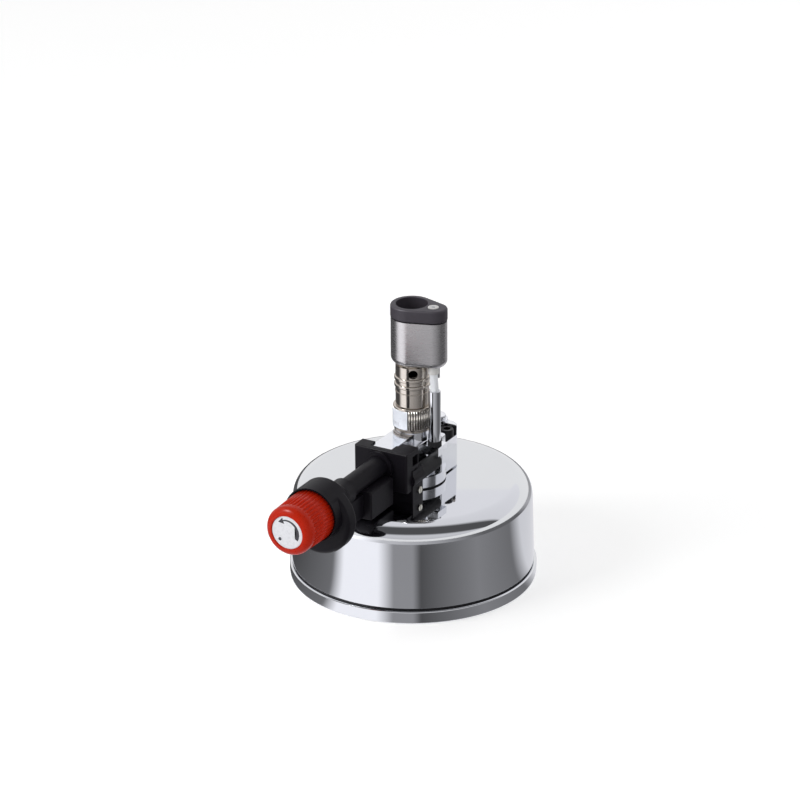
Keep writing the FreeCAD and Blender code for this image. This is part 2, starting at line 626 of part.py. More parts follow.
# Washer, flame ring and air sleeve, threaded over the tube one above the other.
tube_clear = "(tube_radius + fit_gap)"
node(turned([
    (tube_clear, seat_top), ("washer_radius", seat_top),
    ("washer_radius", f"{seat_top} + washer_height"), (tube_clear, f"{seat_top} + washer_height"),
]), "ring_washer")
ring_top = f"({ring_z} + ring_height)"
ring = turned([
    (tube_clear, ring_z), ("ring_radius", ring_z), ("ring_radius", ring_top), (tube_clear, ring_top),
])
round_rims(ring, "ring_edge", ("ring_radius", ring_z), ("ring_radius", ring_top))
node(ring, "flame_ring")
upper_bead_z = f"({sleeve_top} - upper_bead_drop)"
lower_bead_z = f"({sleeve_top} - lower_bead_drop)"
lower_bead_top = f"({lower_bead_z} + bead_height)"
upper_bead_top = f"({upper_bead_z} + bead_height)"
sleeve_blank = turned([
    (tube_clear, sleeve_z), ("sleeve_radius", sleeve_z),
    ("sleeve_radius", lower_bead_z), ("bead_radius", lower_bead_z),
    ("bead_radius", lower_bead_top), ("sleeve_radius", lower_bead_top),
    ("sleeve_radius", upper_bead_z), ("bead_radius", upper_bead_z),
    ("bead_radius", upper_bead_top), ("sleeve_radius", upper_bead_top),
    ("sleeve_radius", sleeve_top), (tube_clear, sleeve_top),
])
round_rims(
    sleeve_blank, "(bead_radius - sleeve_radius) * 0.9",
    ("bead_radius", lower_bead_z), ("bead_radius", lower_bead_top),
    ("bead_radius", upper_bead_z), ("bead_radius", upper_bead_top),
)
node(cut(sleeve_blank, air_drill("bead_radius + slip_gap")), "air_sleeve")

# Head: a drawn steel shroud and a dark cap that plugs into it, both drop-shaped.
shroud = doc.addObject("PartDesign::Body", "shroud")
drop_pad(shroud, "shroud_radius", "shroud_nose_radius", shroud_z, "shroud_height")
round_level(shroud, "shroud_edge", shroud_z)
drop_pocket(
    shroud, "shroud_radius - shroud_wall", "shroud_nose_radius - shroud_wall",
    shroud_top, "shroud_height - shroud_edge",
)
shroud_tube_hole = post(tube_clear, "shroud_edge", ("0", "0", shroud_z))
insulator_clear = "(insulator_radius + fit_gap)"
shroud_pin_hole = post(insulator_clear, "shroud_edge", ("nose_offset", "0", shroud_z))
node(cut(shroud, shroud_tube_hole, shroud_pin_hole), "head_shroud")
neck_inset = "(shroud_wall + fit_gap)"
cap = doc.addObject("PartDesign::Body", "cap")
drop_pad(cap, "cap_radius", "cap_nose_radius", cap_z, "cap_height")
round_level(cap, "cap_edge", cap_top)
cap_neck = doc.addObject("PartDesign::Body", "cap_neck")
neck_z = f"({cap_z} - cap_neck_height)"
drop_pad(
    cap_neck, f"shroud_radius - {neck_inset}", f"shroud_nose_radius - {neck_inset}",
    neck_z, "cap_neck_height + cap_edge",
)
cap_hole = post("cap_bore", f"{cap_top} - {neck_z}", ("0", "0", neck_z))
cap_pin_hole = post(insulator_clear, f"{cap_top} - {neck_z}", ("nose_offset", "0", neck_z))
node(cut(join(cap, cap_neck), cap_hole, cap_pin_hole), "head_cap")

# Igniter tip: a ceramic rod through the head, its wire, and the clip that keeps it from dropping.
insulator_z = f"({shroud_z} - insulator_hang)"
insulator_length = f"({cap_top} + insulator_proud - {insulator_z})"
insulator = post("insulator_radius", insulator_length, ("nose_offset", "0", insulator_z))
wire_z = f"({insulator_z} + electrode_sink)"
wire_length = f"({cap_top} + insulator_proud - {wire_z})"
wire_hole = post("electrode_radius + fit_gap", wire_length, ("nose_offset", "0", wire_z))
node(cut(insulator, wire_hole), "electrode_insulator")
node(post("electrode_radius", wire_length, ("nose_offset", "0", wire_z)), "electrode_wire")
node(slab(
    ("nose_offset - clip_width / 2", "clip_offset", f"{shroud_z} - clip_drop"),
    ("nose_offset + clip_width / 2", "clip_offset + clip_thick", shroud_z),
), "insulator_clip")

# Conduit for the lead, the gland it stands in and the boot over the lead's lower end.
gland_z = f"({block_top} - lug_drop)"
gland_top = f"({gland_z} + gland_height)"
lead_clear = "(lead_radius + fit_gap)"
node(turned([
    (lead_clear, gland_z), ("gland_radius", gland_z), ("gland_radius", gland_top),
    ("conduit_radius + fit_gap", gland_top), ("conduit_radius + fit_gap", conduit_z),
    (lead_clear, conduit_z),
], ("lead_offset", "-lead_station", "0")), "conduit_gland")
node(turned([
    (lead_clear, conduit_z), ("conduit_radius", conduit_z),
    ("conduit_radius", conduit_top), (lead_clear, conduit_top),
], ("lead_offset", "-lead_station", "0")), "lead_conduit")
boot_z = f"({gland_z} - boot_drop)"
boot_dome = "(boot_end - boot_radius)"
boot = join(
    post("boot_radius", f"{boot_dome} + block_front", ("lead_offset", "-block_front", boot_z), "y"),
    ball("boot_radius", ("lead_offset", boot_dome, boot_z)),
)
node(cut(boot, lead_bore), "lead_boot")

# Igniter bracket: a front plate with an ear, a saddle on the tank, an arch round the barrel and a
# half-round rib where the boot leaves it.
plate_top_z = f"({tank_top} + plate_top)"
plate_low = f"({plate_top_z} - plate_height)"
plate_rear = "(-plate_front + plate_thick)"
plate = slab(("-plate_left", "-plate_front", plate_low), ("plate_right", plate_rear, plate_top_z))
ear = slab(
    ("ear_left", plate_rear, f"{plate_top_z} - ear_height"),
    ("plate_right", f"{plate_rear} + ear_depth", plate_top_z),
)
saddle = slab(
    ("-saddle_left", "-saddle_front", tank_top),
    ("saddle_right", "-block_front", f"{tank_top} + saddle_height"),
)
rib = post("boot_radius", "saddle_front - block_front", ("lead_offset", "-saddle_front", boot_z), "y")
arch = post("arch_radius", "arch_reach", ("0", "-plate_front - arch_reach", axis_z), "y")
tongue_notch = slab(
    ("-tongue_left - fit_gap", "-tongue_reach", block_top),
    ("tongue_right + fit_gap", plate_rear, plate_top_z),
)
barrel_socket = post(
    "barrel_radius + fit_gap", "arch_reach", ("0", "-plate_front - arch_reach", axis_z), "y"
)
rod_hole = post("rod_bore", "plate_front - block_front", ("0", "-plate_front", axis_z), "y")
slot_y = "(-plate_front + slot_setback)"
slot_top = f"({plate_top_z} - slot_drop)"
side_slot = slab(
    ("plate_right - slot_depth", slot_y, f"{slot_top} - slot_height"),
    ("plate_right + slot_depth", f"{slot_y} + slot_length", slot_top),
)
side_screw_z = f"({tank_top} + side_screw_height)"
side_screw_holes = [
    post("side_screw_shank + fit_gap", "side_screw_length", (x, "-side_screw_station", side_screw_z), "x")
    for x in ("saddle_right - side_screw_length", "-saddle_left")
]
bracket_blank = rounded(
    join(plate, ear, saddle),
    "plate_edge",
    lambda edge: all(abs(vertex.Y + number("plate_front")) < 1e-5 for vertex in edge.Vertexes),
)
bracket = cut(
    join(bracket_blank, rib, arch),
    tongue_notch, barrel_socket, rod_hole, side_slot, *side_screw_holes, lead_bore,
)
node(bracket, "igniter_bracket")


def side_screw(head_x, shank_x, slot_x):
    at = ("-side_screw_station", side_screw_z)
    head = post("side_screw_radius", "side_screw_head_height", (head_x, *at), "x")
    shank = post("side_screw_shank", "side_screw_length", (shank_x, *at), "x")
    half = "side_screw_slot / 2"
    slot = slab(
        (slot_x, f"-side_screw_station - {half}", f"{side_screw_z} - side_screw_radius"),
        (f"{slot_x} + {half}", f"-side_screw_station + {half}", f"{side_screw_z} + side_screw_radius"),
    )
    return cut(join(head, shank), slot)


node(group(
    side_screw(
        "saddle_right", "saddle_right - side_screw_length",
        "saddle_right + side_screw_head_height - side_screw_slot / 2",
    ),
    side_screw(
        "-saddle_left - side_screw_head_height", "-saddle_left",
        "-saddle_left - side_screw_head_height",
    ),
), "bracket_screws")

# Guard round the foot of the knob: a collar on the push axis, a larger disc hung lower, and a neck.
guard_rear = "(-guard_front + guard_cup_depth + guard_floor)"
neck_end = f"({guard_rear} + neck_run + neck_sleeve)"
disc_at = ("0", f"{guard_rear} - guard_depth", f"{axis_z} - guard_drop")
disc = rounded(
    post("guard_radius", "guard_depth", disc_at, "y"),
    "guard_edge",
    lambda edge: isinstance(edge.Curve, Part.Circle),
)
collar = post(
    "guard_cup_radius + guard_collar_wall", "guard_cup_depth + guard_floor",
    ("0", "-guard_front", axis_z), "y",
)
neck = turned([
    ("0", "0"), ("neck_radius", "0"), ("neck_end_radius", "neck_run"),
    ("neck_end_radius", "neck_run + neck_sleeve"), ("0", "neck_run + neck_sleeve"),
], ("0", guard_rear, axis_z), "y")
guard_cup = post("guard_cup_radius", "guard_cup_depth", ("0", "-guard_front", axis_z), "y")
guard_bore = post("rod_bore", f"{neck_end} + guard_front", ("0", "-guard_front", axis_z), "y")
nose_socket = slab(
    ("-nose_half_width - fit_gap", guard_rear, f"{tank_top} + nose_bottom - fit_gap"),
    ("nose_half_width + fit_gap", neck_end, f"{tank_top} + nose_top + fit_gap"),
)
node(cut(join(disc, collar, neck), guard_cup, guard_bore, nose_socket), "knob_guard")

# Igniter housing: a barrel for the push rod with the box of the spark unit hung under it, and a
# nose from the box to the back of the guard.
barrel = post("barrel_radius", f"-plate_front - {neck_end}", ("0", neck_end, axis_z), "y")
box_low = f"({tank_top} + box_bottom)"
box_high = f"({tank_top} + box_top)"
box = slab(("-box_half_width", "-box_front", box_low), ("box_half_width", "-box_rear", box_high))
box_round = rounded(
    box,
    "box_edge",
    lambda edge: abs(edge.Vertexes[0].Y - edge.Vertexes[1].Y) > 1e-5
    or all(abs(vertex.Y + number("box_front")) < 1e-5 for vertex in edge.Vertexes),
)
bridge = slab(
    ("-bridge_half_width", "-box_front", box_low),
    ("bridge_half_width", "-plate_front - arch_reach", axis_z),
)
nose = slab(
    ("-nose_half_width", guard_rear, f"{tank_top} + nose_bottom"),
    ("nose_half_width", "-box_front + box_edge", f"{tank_top} + nose_top"),
)
barrel_bore = post("rod_bore", f"-plate_front - {neck_end}", ("0", neck_end, axis_z), "y")
piezo_z = f"({tank_top} + piezo_height)"
piezo_y = "(-box_front + piezo_setback)"
piezo_hole = post("piezo_radius + fit_gap", "piezo_length", ("0", piezo_y, piezo_z), "y")
node(cut(join(barrel, box_round, bridge, nose), barrel_bore, piezo_hole), "igniter_housing")
node(post("piezo_radius", "piezo_length", ("0", piezo_y, piezo_z), "y"), "spark_unit")

# Knob with a hollow skirt and hub, the badge let into its face and the screw that holds it.
badge_floor = "(badge_sink + badge_thick)"
screw_pocket = f"({badge_floor} + knob_screw_head + 2 * knob_screw_play)"
knob = turned([
    ("rod_radius + fit_gap", screw_pocket), ("knob_screw_radius + slip_gap", screw_pocket),
    ("knob_screw_radius + slip_gap", badge_floor), ("badge_radius + fit_gap", badge_floor),
    ("badge_radius + fit_gap", "0"), ("knob_face_radius", "0"),
    ("knob_base_radius", "knob_length"), ("knob_cavity_radius", "knob_length"),
    ("knob_cavity_radius", "knob_length - knob_cavity_depth"),
    ("knob_hub_radius", "knob_length - knob_cavity_depth"),
    ("knob_hub_radius", "knob_hub_length"), ("rod_radius + fit_gap", "knob_hub_length"),
], ("0", "-knob_face", axis_z), "y")
round_rims(knob, "knob_edge", ("knob_face_radius", "0"))
node(knob, "knob")
node(post("badge_radius", "badge_thick", ("0", "-knob_face + badge_sink", axis_z), "y"), "knob_badge")
rod_start = f"(-knob_face + {screw_pocket} - knob_screw_play / 2)"
screw_head_y = f"({rod_start} - knob_screw_head)"
knob_screw_hole = post("knob_screw_shank + fit_gap", "knob_screw_length", ("0", rod_start, axis_z), "y")
node(join(
    post("knob_screw_radius", "knob_screw_head", ("0", screw_head_y, axis_z), "y"),
    post("knob_screw_shank", "knob_screw_length", ("0", rod_start, axis_z), "y"),
), "knob_screw")

# Push rod from the knob to the valve stem, its return spring, and the valve in the block.
rod = post("rod_radius", f"-rod_end - {rod_start}", ("0", rod_start, axis_z), "y")
node(cut(rod, knob_screw_hole), "push_rod")
node(post("stem_radius", "stem_length", ("0", "-rod_end", axis_z), "y"), "valve_stem")
spring_start = "(-knob_face + knob_length - knob_cavity_depth)"
spring_length = f"(-guard_front + guard_cup_depth - {spring_start})"
node(turned([
    ("spring_radius - spring_wire", "0"), ("spring_radius", "0"),
    ("spring_radius", spring_length), ("spring_radius - spring_wire", spring_length),
], ("0", spring_start, axis_z), "y"), "return_spring")
node(turned([
    ("stem_radius + fit_gap", "0"), ("valve_seat_radius", "0"),
    ("valve_seat_radius", "valve_seat_length"), ("stem_radius + fit_gap", "valve_seat_length"),
], ("0", "-block_front", axis_z), "y"), "valve_seat")

doc.recompute()
for thing in doc.Objects:
    if "Invalid" in thing.State or "Error" in thing.State:
        raise RuntimeError(f"{thing.Label} failed: {thing.State}")
for thing in nodes:
    if thing.Shape.isNull() or not thing.Shape.isValid():
        raise RuntimeError(f"{thing.Label} has no valid shape")
for thing in nodes:
    thing.Shape.exportStep(f"parts/{thing.Label}.step")
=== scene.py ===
import math

import bmesh
import bpy
from mathutils import Matrix, Vector


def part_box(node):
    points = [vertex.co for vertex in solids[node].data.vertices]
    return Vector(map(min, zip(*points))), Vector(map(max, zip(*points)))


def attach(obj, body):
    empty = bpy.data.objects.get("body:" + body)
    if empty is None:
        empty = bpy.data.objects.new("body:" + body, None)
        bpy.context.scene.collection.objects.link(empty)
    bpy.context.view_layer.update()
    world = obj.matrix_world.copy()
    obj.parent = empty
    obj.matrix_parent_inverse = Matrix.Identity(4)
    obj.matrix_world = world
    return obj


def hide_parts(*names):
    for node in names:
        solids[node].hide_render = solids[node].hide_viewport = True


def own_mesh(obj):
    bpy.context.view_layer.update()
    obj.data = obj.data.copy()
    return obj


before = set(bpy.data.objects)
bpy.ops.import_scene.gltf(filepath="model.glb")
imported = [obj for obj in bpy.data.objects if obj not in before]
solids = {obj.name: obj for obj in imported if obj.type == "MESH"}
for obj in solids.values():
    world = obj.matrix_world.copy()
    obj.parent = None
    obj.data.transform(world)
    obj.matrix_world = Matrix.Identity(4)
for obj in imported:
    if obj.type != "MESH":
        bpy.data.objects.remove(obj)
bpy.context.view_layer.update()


# Foot pad: a black rubber disc with a fine matt skin, moulded flat and glued into the
# hollow under the base. A round port in it leaves room for the filler.
def finish(
    name, colour, rough, metal=0.0, grain=(1500, 1500, 1500), relief=0.1, uneven=0.05, worn=0.85, shine=0.5
):
    """A finish whose grain varies its colour, its gloss and its relief."""
    made = bpy.data.materials.new(name)
    made.use_nodes = True
    tree = made.node_tree
    skin = tree.nodes["Principled BSDF"]
    skin.inputs["Metallic"].default_value = metal
    skin.inputs["Specular IOR Level"].default_value = shine
    place = tree.nodes.new("ShaderNodeTexCoord")
    size = tree.nodes.new("ShaderNodeMapping")
    size.inputs["Scale"].default_value = grain
    speck = tree.nodes.new("ShaderNodeTexNoise")
    speck.inputs["Scale"].default_value = 1.0
    speck.inputs["Detail"].default_value = 4.0
    tint = tree.nodes.new("ShaderNodeMix")
    tint.data_type = "RGBA"
    tint.inputs[6].default_value = (*(channel * worn for channel in colour), 1.0)
    tint.inputs[7].default_value = (*colour, 1.0)
    gloss = tree.nodes.new("ShaderNodeMapRange")
    gloss.inputs["From Min"].default_value = 0.3
    gloss.inputs["From Max"].default_value = 0.7
    gloss.inputs["To Min"].default_value = rough - uneven
    gloss.inputs["To Max"].default_value = rough + uneven
    bump = tree.nodes.new("ShaderNodeBump")
    bump.inputs["Strength"].default_value = relief
    bump.inputs["Distance"].default_value = 0.0001
    tree.links.new(place.outputs["Object"], size.inputs["Vector"])
    tree.links.new(size.outputs["Vector"], speck.inputs["Vector"])
    tree.links.new(speck.outputs["Fac"], tint.inputs["Factor"])
    tree.links.new(speck.outputs["Fac"], gloss.inputs["Value"])
    tree.links.new(speck.outputs["Fac"], bump.inputs["Height"])
    tree.links.new(tint.outputs[2], skin.inputs["Base Color"])
    tree.links.new(gloss.outputs["Result"], skin.inputs["Roughness"])
    tree.links.new(bump.outputs["Normal"], skin.inputs["Normal"])
    return made


def paint(material, *names):
    """Gives solids that show as they are their finish."""
    for name in names:
        solids[name].data.materials.clear()
        solids[name].data.materials.append(material)


black_rubber = finish("black_rubber", (0.014, 0.014, 0.016), 0.7, relief=0.25, shine=0.3)
paint(black_rubber, "foot_pad")


# Base pan: a turned steel pan, plated with the same bright chrome as the tank. Only its
# rim shows, as a polished band under the seam.
def turned(name, corners, steps=192, place=(0, 0, 0), along="z"):
    """A piece turned from a closed outline of (radius, height, rounding) corners, in millimetres."""
    outline = []
    for i, (radius, height, rounding) in enumerate(corners):
        here = Vector((radius, height))
        if not rounding:
            outline.append(here)
            continue
        back = (Vector(corners[i - 1][:2]) - here).normalized()
        on = (Vector(corners[(i + 1) % len(corners)][:2]) - here).normalized()
        half = back.angle(on) / 2
        centre = here + (back + on).normalized() * rounding / math.sin(half)
        start = here + back * rounding / math.tan(half) - centre
        end = here + on * rounding / math.tan(half) - centre
        sweep = math.pi - 2 * half
        bends = max(3, round(sweep * 8))
        for k in range(bends + 1):
            share = sweep * k / bends
            reach = start * math.sin(sweep - share) + end * math.sin(share)
            outline.append(centre + reach / math.sin(sweep))
    work = bmesh.new()
    rings = []
    for k in range(steps):
        turn = 2 * math.pi * k / steps
        rings.append([work.verts.new((p.x * math.cos(turn), p.x * math.sin(turn), p.y)) for p in outline])
    for k, ring in enumerate(rings):
        beside = rings[(k + 1) % steps]
        for i, point in enumerate(outline):
            j = (i + 1) % len(outline)
            if point.x > 1e-6 or outline[j].x > 1e-6:
                work.faces.new((ring[i], beside[i], beside[j], ring[j]))
    bmesh.ops.remove_doubles(work, verts=work.verts, dist=1e-5)
    bmesh.ops.recalc_face_normals(work, faces=work.faces)
    mesh = bpy.data.meshes.new(name)
    work.to_mesh(mesh)
    work.free()
    stand = Matrix.Rotation(-math.pi / 2, 4, "X") if along == "y" else Matrix.Identity(4)
    mesh.transform(Matrix.Scale(0.001, 4) @ Matrix.Translation(place) @ stand)
    return shown(name, mesh)


def shown(name, mesh, sharp=32):
    """Puts a finished mesh in the scene, smooth but for its sharp edges."""
    mesh.shade_smooth()
    mesh.set_sharp_from_angle(angle=math.radians(sharp))
    piece = bpy.data.objects.new(name, mesh)
    bpy.context.scene.collection.objects.link(piece)
    return piece


def fit(piece, material, body, slot, *instead_of):
    """Finishes a piece and sets it on its body, in place of the solids that it stands for."""
    piece.data.materials.clear()
    piece.data.materials.append(material)
    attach(piece, body)
    if instead_of:
        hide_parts(*instead_of)
    return piece


def span(node):
    """The lowest and the highest corner of a solid, in millimetres."""
    return [corner * 1000 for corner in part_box(node)]


bright_chrome = finish(
    "bright_chrome", (0.71, 0.72, 0.745), 0.045, 1.0, (60, 60, 60), relief=0.004, uneven=0.02, worn=0.96
)
pan_low, pan_high = span("base_pan")
rim_edge = 0.5
rim_inside = pan_high.x - 2.6
inner_edge = 0.2
pan_floor_low = span("foot_pad")[1].z
pan_floor_high = pan_floor_low + 1.2
base_rim = turned("base_rim", [
    (0, pan_floor_low, 0), (rim_inside, pan_floor_low, 0),
    (rim_inside, pan_low.z, inner_edge), (pan_high.x, pan_low.z, rim_edge),
    (pan_high.x, pan_high.z, rim_edge), (rim_inside, pan_high.z, inner_edge),
    (rim_inside, pan_floor_high, 0), (0, pan_floor_high, 0),
], 256)
fit(base_rim, bright_chrome, "base", "tank_chrome", "base_pan")

# Seam: a thin black gasket that shows as a dark line between the rim and the tank.
# It is cut from sheet rubber and pinched by the shell.
paint(black_rubber, "seam_gasket")

# Tank shell: deep-drawn steel, polished and chromed like a mirror, with a wide round
# shoulder. It is drawn in a little towards the top.
shell_low, shell_high = span("tank_shell")
shell_wall = 1.2
shell_foot_edge = 0.25
shoulder_radius = shell_high.x - 0.8
shoulder_round = 6.0
outlet_hole = 4.05
tank_cover = turned("tank_cover", [
    (shell_high.x - shell_wall, shell_low.z, 0), (shell_high.x, shell_low.z, shell_foot_edge),
    (shoulder_radius, shell_high.z, shoulder_round), (outlet_hole, shell_high.z, 0),
    (outlet_hole, shell_high.z - shell_wall, 0),
    (shoulder_radius - shell_wall, shell_high.z - shell_wall, shoulder_round - shell_wall),
], 256)
fit(tank_cover, bright_chrome, "base", "tank_chrome", "tank_shell")

# Fuel tank: a welded plastic cup and lid hidden in the shell, with a brass outlet, a
# pick-up tube and a felt filter that keeps dirt out of the jet.
tank_plastic = finish("tank_plastic", (0.78, 0.78, 0.74), 0.5, grain=(400, 400, 400))
turned_brass = finish("turned_brass", (0.71, 0.5, 0.19), 0.27, 1.0, (500, 500, 9000), relief=0.12)
pressed_felt = finish("pressed_felt", (0.8, 0.78, 0.72), 0.95, grain=(2500, 2500, 2500), relief=0.6)
paint(tank_plastic, "fuel_tank_cup", "fuel_tank_lid")
paint(turned_brass, "outlet_stem", "pickup_tube")
paint(pressed_felt, "pickup_filter")

# Filler valve: a brass body and hexagon nut through the base, with a sprung stem that
# the gas can pushes up. A rubber seal closes it.
drawn_steel = finish("drawn_steel", (0.48, 0.48, 0.5), 0.3, 1.0, (900, 900, 5000), relief=0.1)
paint(turned_brass, "filler_body", "filler_nut", "filler_stem")
paint(black_rubber, "filler_seal")
paint(drawn_steel, "filler_clip")


def made_by(tree, name, **sizes):
    """A plain mesh of what a Geometry Nodes tree makes with these sizes."""
    piece = shown(name, bpy.data.meshes.new(name))
    maker = piece.modifiers.new(name, "NODES")
    maker.node_group = tree
    for socket in tree.interface.items_tree:
        if socket.in_out == "INPUT":
            maker[socket.identifier] = sizes[socket.name.lower().replace(" ", "_")]
    ready = piece.evaluated_get(bpy.context.evaluated_depsgraph_get())
    mesh = bpy.data.meshes.new_from_object(ready)
    piece.modifiers.clear()
    piece.data = mesh
    return piece


coil_tree = bpy.data.node_groups.new("wound_spring", "GeometryNodeTree")
for label, kind in (
    ("Turns", "Float"), ("Radius", "Float"), ("Length", "Float"), ("Wire", "Float"),
    ("Turned", "Vector"), ("Place", "Vector"), ("Material", "Material"),
):
    coil_tree.interface.new_socket(label, in_out="INPUT", socket_type=f"NodeSocket{kind}")
coil_tree.interface.new_socket("Geometry", in_out="OUTPUT", socket_type="NodeSocketGeometry")
coil_in = coil_tree.nodes.new("NodeGroupInput")
coil_out = coil_tree.nodes.new("NodeGroupOutput")
coil_path = coil_tree.nodes.new("GeometryNodeCurveSpiral")
coil_path.inputs["Resolution"].default_value = 28
coil_wire = coil_tree.nodes.new("GeometryNodeCurvePrimitiveCircle")
coil_wire.inputs["Resolution"].default_value = 10
coil_sweep = coil_tree.nodes.new("GeometryNodeCurveToMesh")
coil_sweep.inputs["Fill Caps"].default_value = True
coil_place = coil_tree.nodes.new("GeometryNodeTransform")
coil_real = coil_tree.nodes.new("GeometryNodeRealizeInstances")
coil_skin = coil_tree.nodes.new("GeometryNodeSetMaterial")
for start, end in (
    (coil_in.outputs["Turns"], coil_path.inputs["Rotations"]),
    (coil_in.outputs["Radius"], coil_path.inputs["Start Radius"]),
    (coil_in.outputs["Radius"], coil_path.inputs["End Radius"]),
    (coil_in.outputs["Length"], coil_path.inputs["Height"]),
    (coil_in.outputs["Wire"], coil_wire.inputs["Radius"]),
    (coil_path.outputs["Curve"], coil_sweep.inputs["Curve"]),
    (coil_wire.outputs["Curve"], coil_sweep.inputs["Profile Curve"]),
    (coil_sweep.outputs["Mesh"], coil_place.inputs["Geometry"]),
    (coil_in.outputs["Turned"], coil_place.inputs["Rotation"]),
    (coil_in.outputs["Place"], coil_place.inputs["Translation"]),
    (coil_place.outputs["Geometry"], coil_real.inputs["Geometry"]),
    (coil_real.outputs["Geometry"], coil_skin.inputs["Geometry"]),
    (coil_in.outputs["Material"], coil_skin.inputs["Material"]),
    (coil_skin.outputs["Geometry"], coil_out.inputs["Geometry"]),
):
    coil_tree.links.new(start, end)
filler_room_low, filler_room_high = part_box("filler_spring")
filler_wire = 0.00022
filler_inset = filler_wire + 0.00003
filler_coil = made_by(
    coil_tree, "filler_coil", turns=5.0, radius=filler_room_high.x - filler_inset,
    length=filler_room_high.z - filler_room_low.z - 2 * filler_inset, wire=filler_wire,
    turned=(0, 0, 0), material=drawn_steel,
    place=(0, (filler_room_low.y + filler_room_high.y) / 2, filler_room_low.z + filler_inset),
)
fit(filler_coil, drawn_steel, "base", "spring_steel", "filler_spring")
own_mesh(filler_coil)


# Burner block: die-cast metal with a bright chrome coat, bolted to the tank over a thin
# gasket. Its corners are softened by casting and polishing.
def from_solid(name, node, edge=0.0, weld=2e-6, flat=0.002, corner=38):
    """A fair copy of a solid in one skin, with its sharp edges broken by some millimetres."""
    plain = solids[node].data
    work = bmesh.new()
    mesh = bpy.data.meshes.new(name)
    mesh.from_pydata([v.co for v in plain.vertices], [], [tuple(p.vertices) for p in plain.polygons])
    work.from_mesh(mesh)
    bmesh.ops.remove_doubles(work, verts=work.verts, dist=weld)
    bmesh.ops.dissolve_limit(work, angle_limit=flat, verts=work.verts, edges=work.edges)
    work.to_mesh(mesh)
    work.free()
    piece = shown(name, mesh)
    if edge:
        broken = piece.modifiers.new("broken_edges", "BEVEL")
        broken.width = edge * 0.001
        broken.segments = 2
        broken.limit_method = "ANGLE"
        broken.angle_limit = math.radians(corner)
        broken.harden_normals = True
    return piece


cast_chrome = finish(
    "cast_chrome", (0.84, 0.85, 0.88), 0.13, 1.0, (240, 240, 240), relief=0.05, uneven=0.04, worn=0.95
)
paint(black_rubber, "block_gasket")
fit(from_solid("block_casting", "burner_block", 0.18), cast_chrome, "base", "block_chrome", "burner_block")
regulator_plug = from_solid("regulator_plug", "regulator_cap", 0.25)
fit(regulator_plug, cast_chrome, "base", "block_chrome", "regulator_cap")

# Block screws: socket-head cap screws in black oxide, one in each rear notch, that pull
# the block down on the tank.
black_oxide = finish(
    "black_oxide", (0.012, 0.011, 0.013), 0.32, 0.4, (3000, 3000, 3000), relief=0.08, shine=0.4
)
fit(from_solid("cap_screws", "block_screws", 0.15), black_oxide, "base", "screw_black", "block_screws")

# Jet, tube and screen: a drilled brass jet blows gas up the nickel-plated tube, where a
# steel screen holds the flame. A washer seats on the block under the rings.
warm_nickel = finish(
    "warm_nickel", (0.58, 0.53, 0.475), 0.13, 1.0, (300, 300, 16000), relief=0.06, uneven=0.04, worn=0.9
)
paint(turned_brass, "gas_jet")
paint(drawn_steel, "flame_screen")
fit(from_solid("tube_pipe", "burner_tube", 0.1), warm_nickel, "base", "nickel", "burner_tube")
fit(from_solid("seat_washer", "ring_washer", 0.1), warm_nickel, "base", "nickel", "ring_washer")

# Flame ring: turned brass with a straight knurl and nickel plate, which turns on the tube
# to set the flame. A pale band on its left side carries plain marks.
ring_low, ring_high = span("flame_ring")
ring_bore = span("burner_tube")[1].x + 0.05
ring_edge = 0.3
bore_edge = 0.1
knurl_low = ring_low.z + 0.7
knurl_high = ring_high.z - 0.7
knurl_step = 0.1
valley_radius = ring_high.x - 0.25
ring_barrel = turned("ring_barrel", [
    (ring_bore, ring_low.z, bore_edge), (ring_high.x, ring_low.z, ring_edge),
    (ring_high.x, knurl_low - knurl_step, 0), (valley_radius, knurl_low, 0),
    (valley_radius, knurl_high, 0), (ring_high.x, knurl_high + knurl_step, 0),
    (ring_high.x, ring_high.z, ring_edge), (ring_bore, ring_high.z, bore_edge),
])
fit(ring_barrel, warm_nickel, "flame_ring", "nickel", "flame_ring")
rib_tree = bpy.data.node_groups.new("ribs_round_a_barrel", "GeometryNodeTree")
for label, kind in (
    ("Ribs", "Int"), ("Group", "Float"), ("Kept", "Float"), ("Circle", "Float"), ("Rib Radius", "Float"),
    ("Rib Length", "Float"), ("Lean", "Vector"), ("Turned", "Vector"), ("Place", "Vector"),
    ("Material", "Material"),
):
    rib_tree.interface.new_socket(label, in_out="INPUT", socket_type=f"NodeSocket{kind}")
rib_tree.interface.new_socket("Geometry", in_out="OUTPUT", socket_type="NodeSocketGeometry")
rib_in = rib_tree.nodes.new("NodeGroupInput")
rib_out = rib_tree.nodes.new("NodeGroupOutput")
rib_circle = rib_tree.nodes.new("GeometryNodeMeshCircle")
rib_shape = rib_tree.nodes.new("GeometryNodeMeshCylinder")
rib_shape.inputs["Vertices"].default_value = 10
rib_index = rib_tree.nodes.new("GeometryNodeInputIndex")
rib_count = rib_tree.nodes.new("ShaderNodeMath")
rib_count.operation = "MODULO"
rib_keep = rib_tree.nodes.new("FunctionNodeCompare")
rib_keep.operation = "LESS_THAN"
rib_spot = rib_tree.nodes.new("GeometryNodeInputPosition")
rib_slant = rib_tree.nodes.new("ShaderNodeVectorMath")
rib_slant.operation = "MULTIPLY"
rib_rise = rib_tree.nodes.new("ShaderNodeVectorMath")
rib_rise.inputs[1].default_value = (0, 0, 1)
rib_aim = rib_tree.nodes.new("FunctionNodeAlignRotationToVector")
rib_aim.axis = "Z"
rib_set = rib_tree.nodes.new("GeometryNodeInstanceOnPoints")
rib_place = rib_tree.nodes.new("GeometryNodeTransform")
rib_real = rib_tree.nodes.new("GeometryNodeRealizeInstances")
rib_smooth = rib_tree.nodes.new("GeometryNodeSetShadeSmooth")
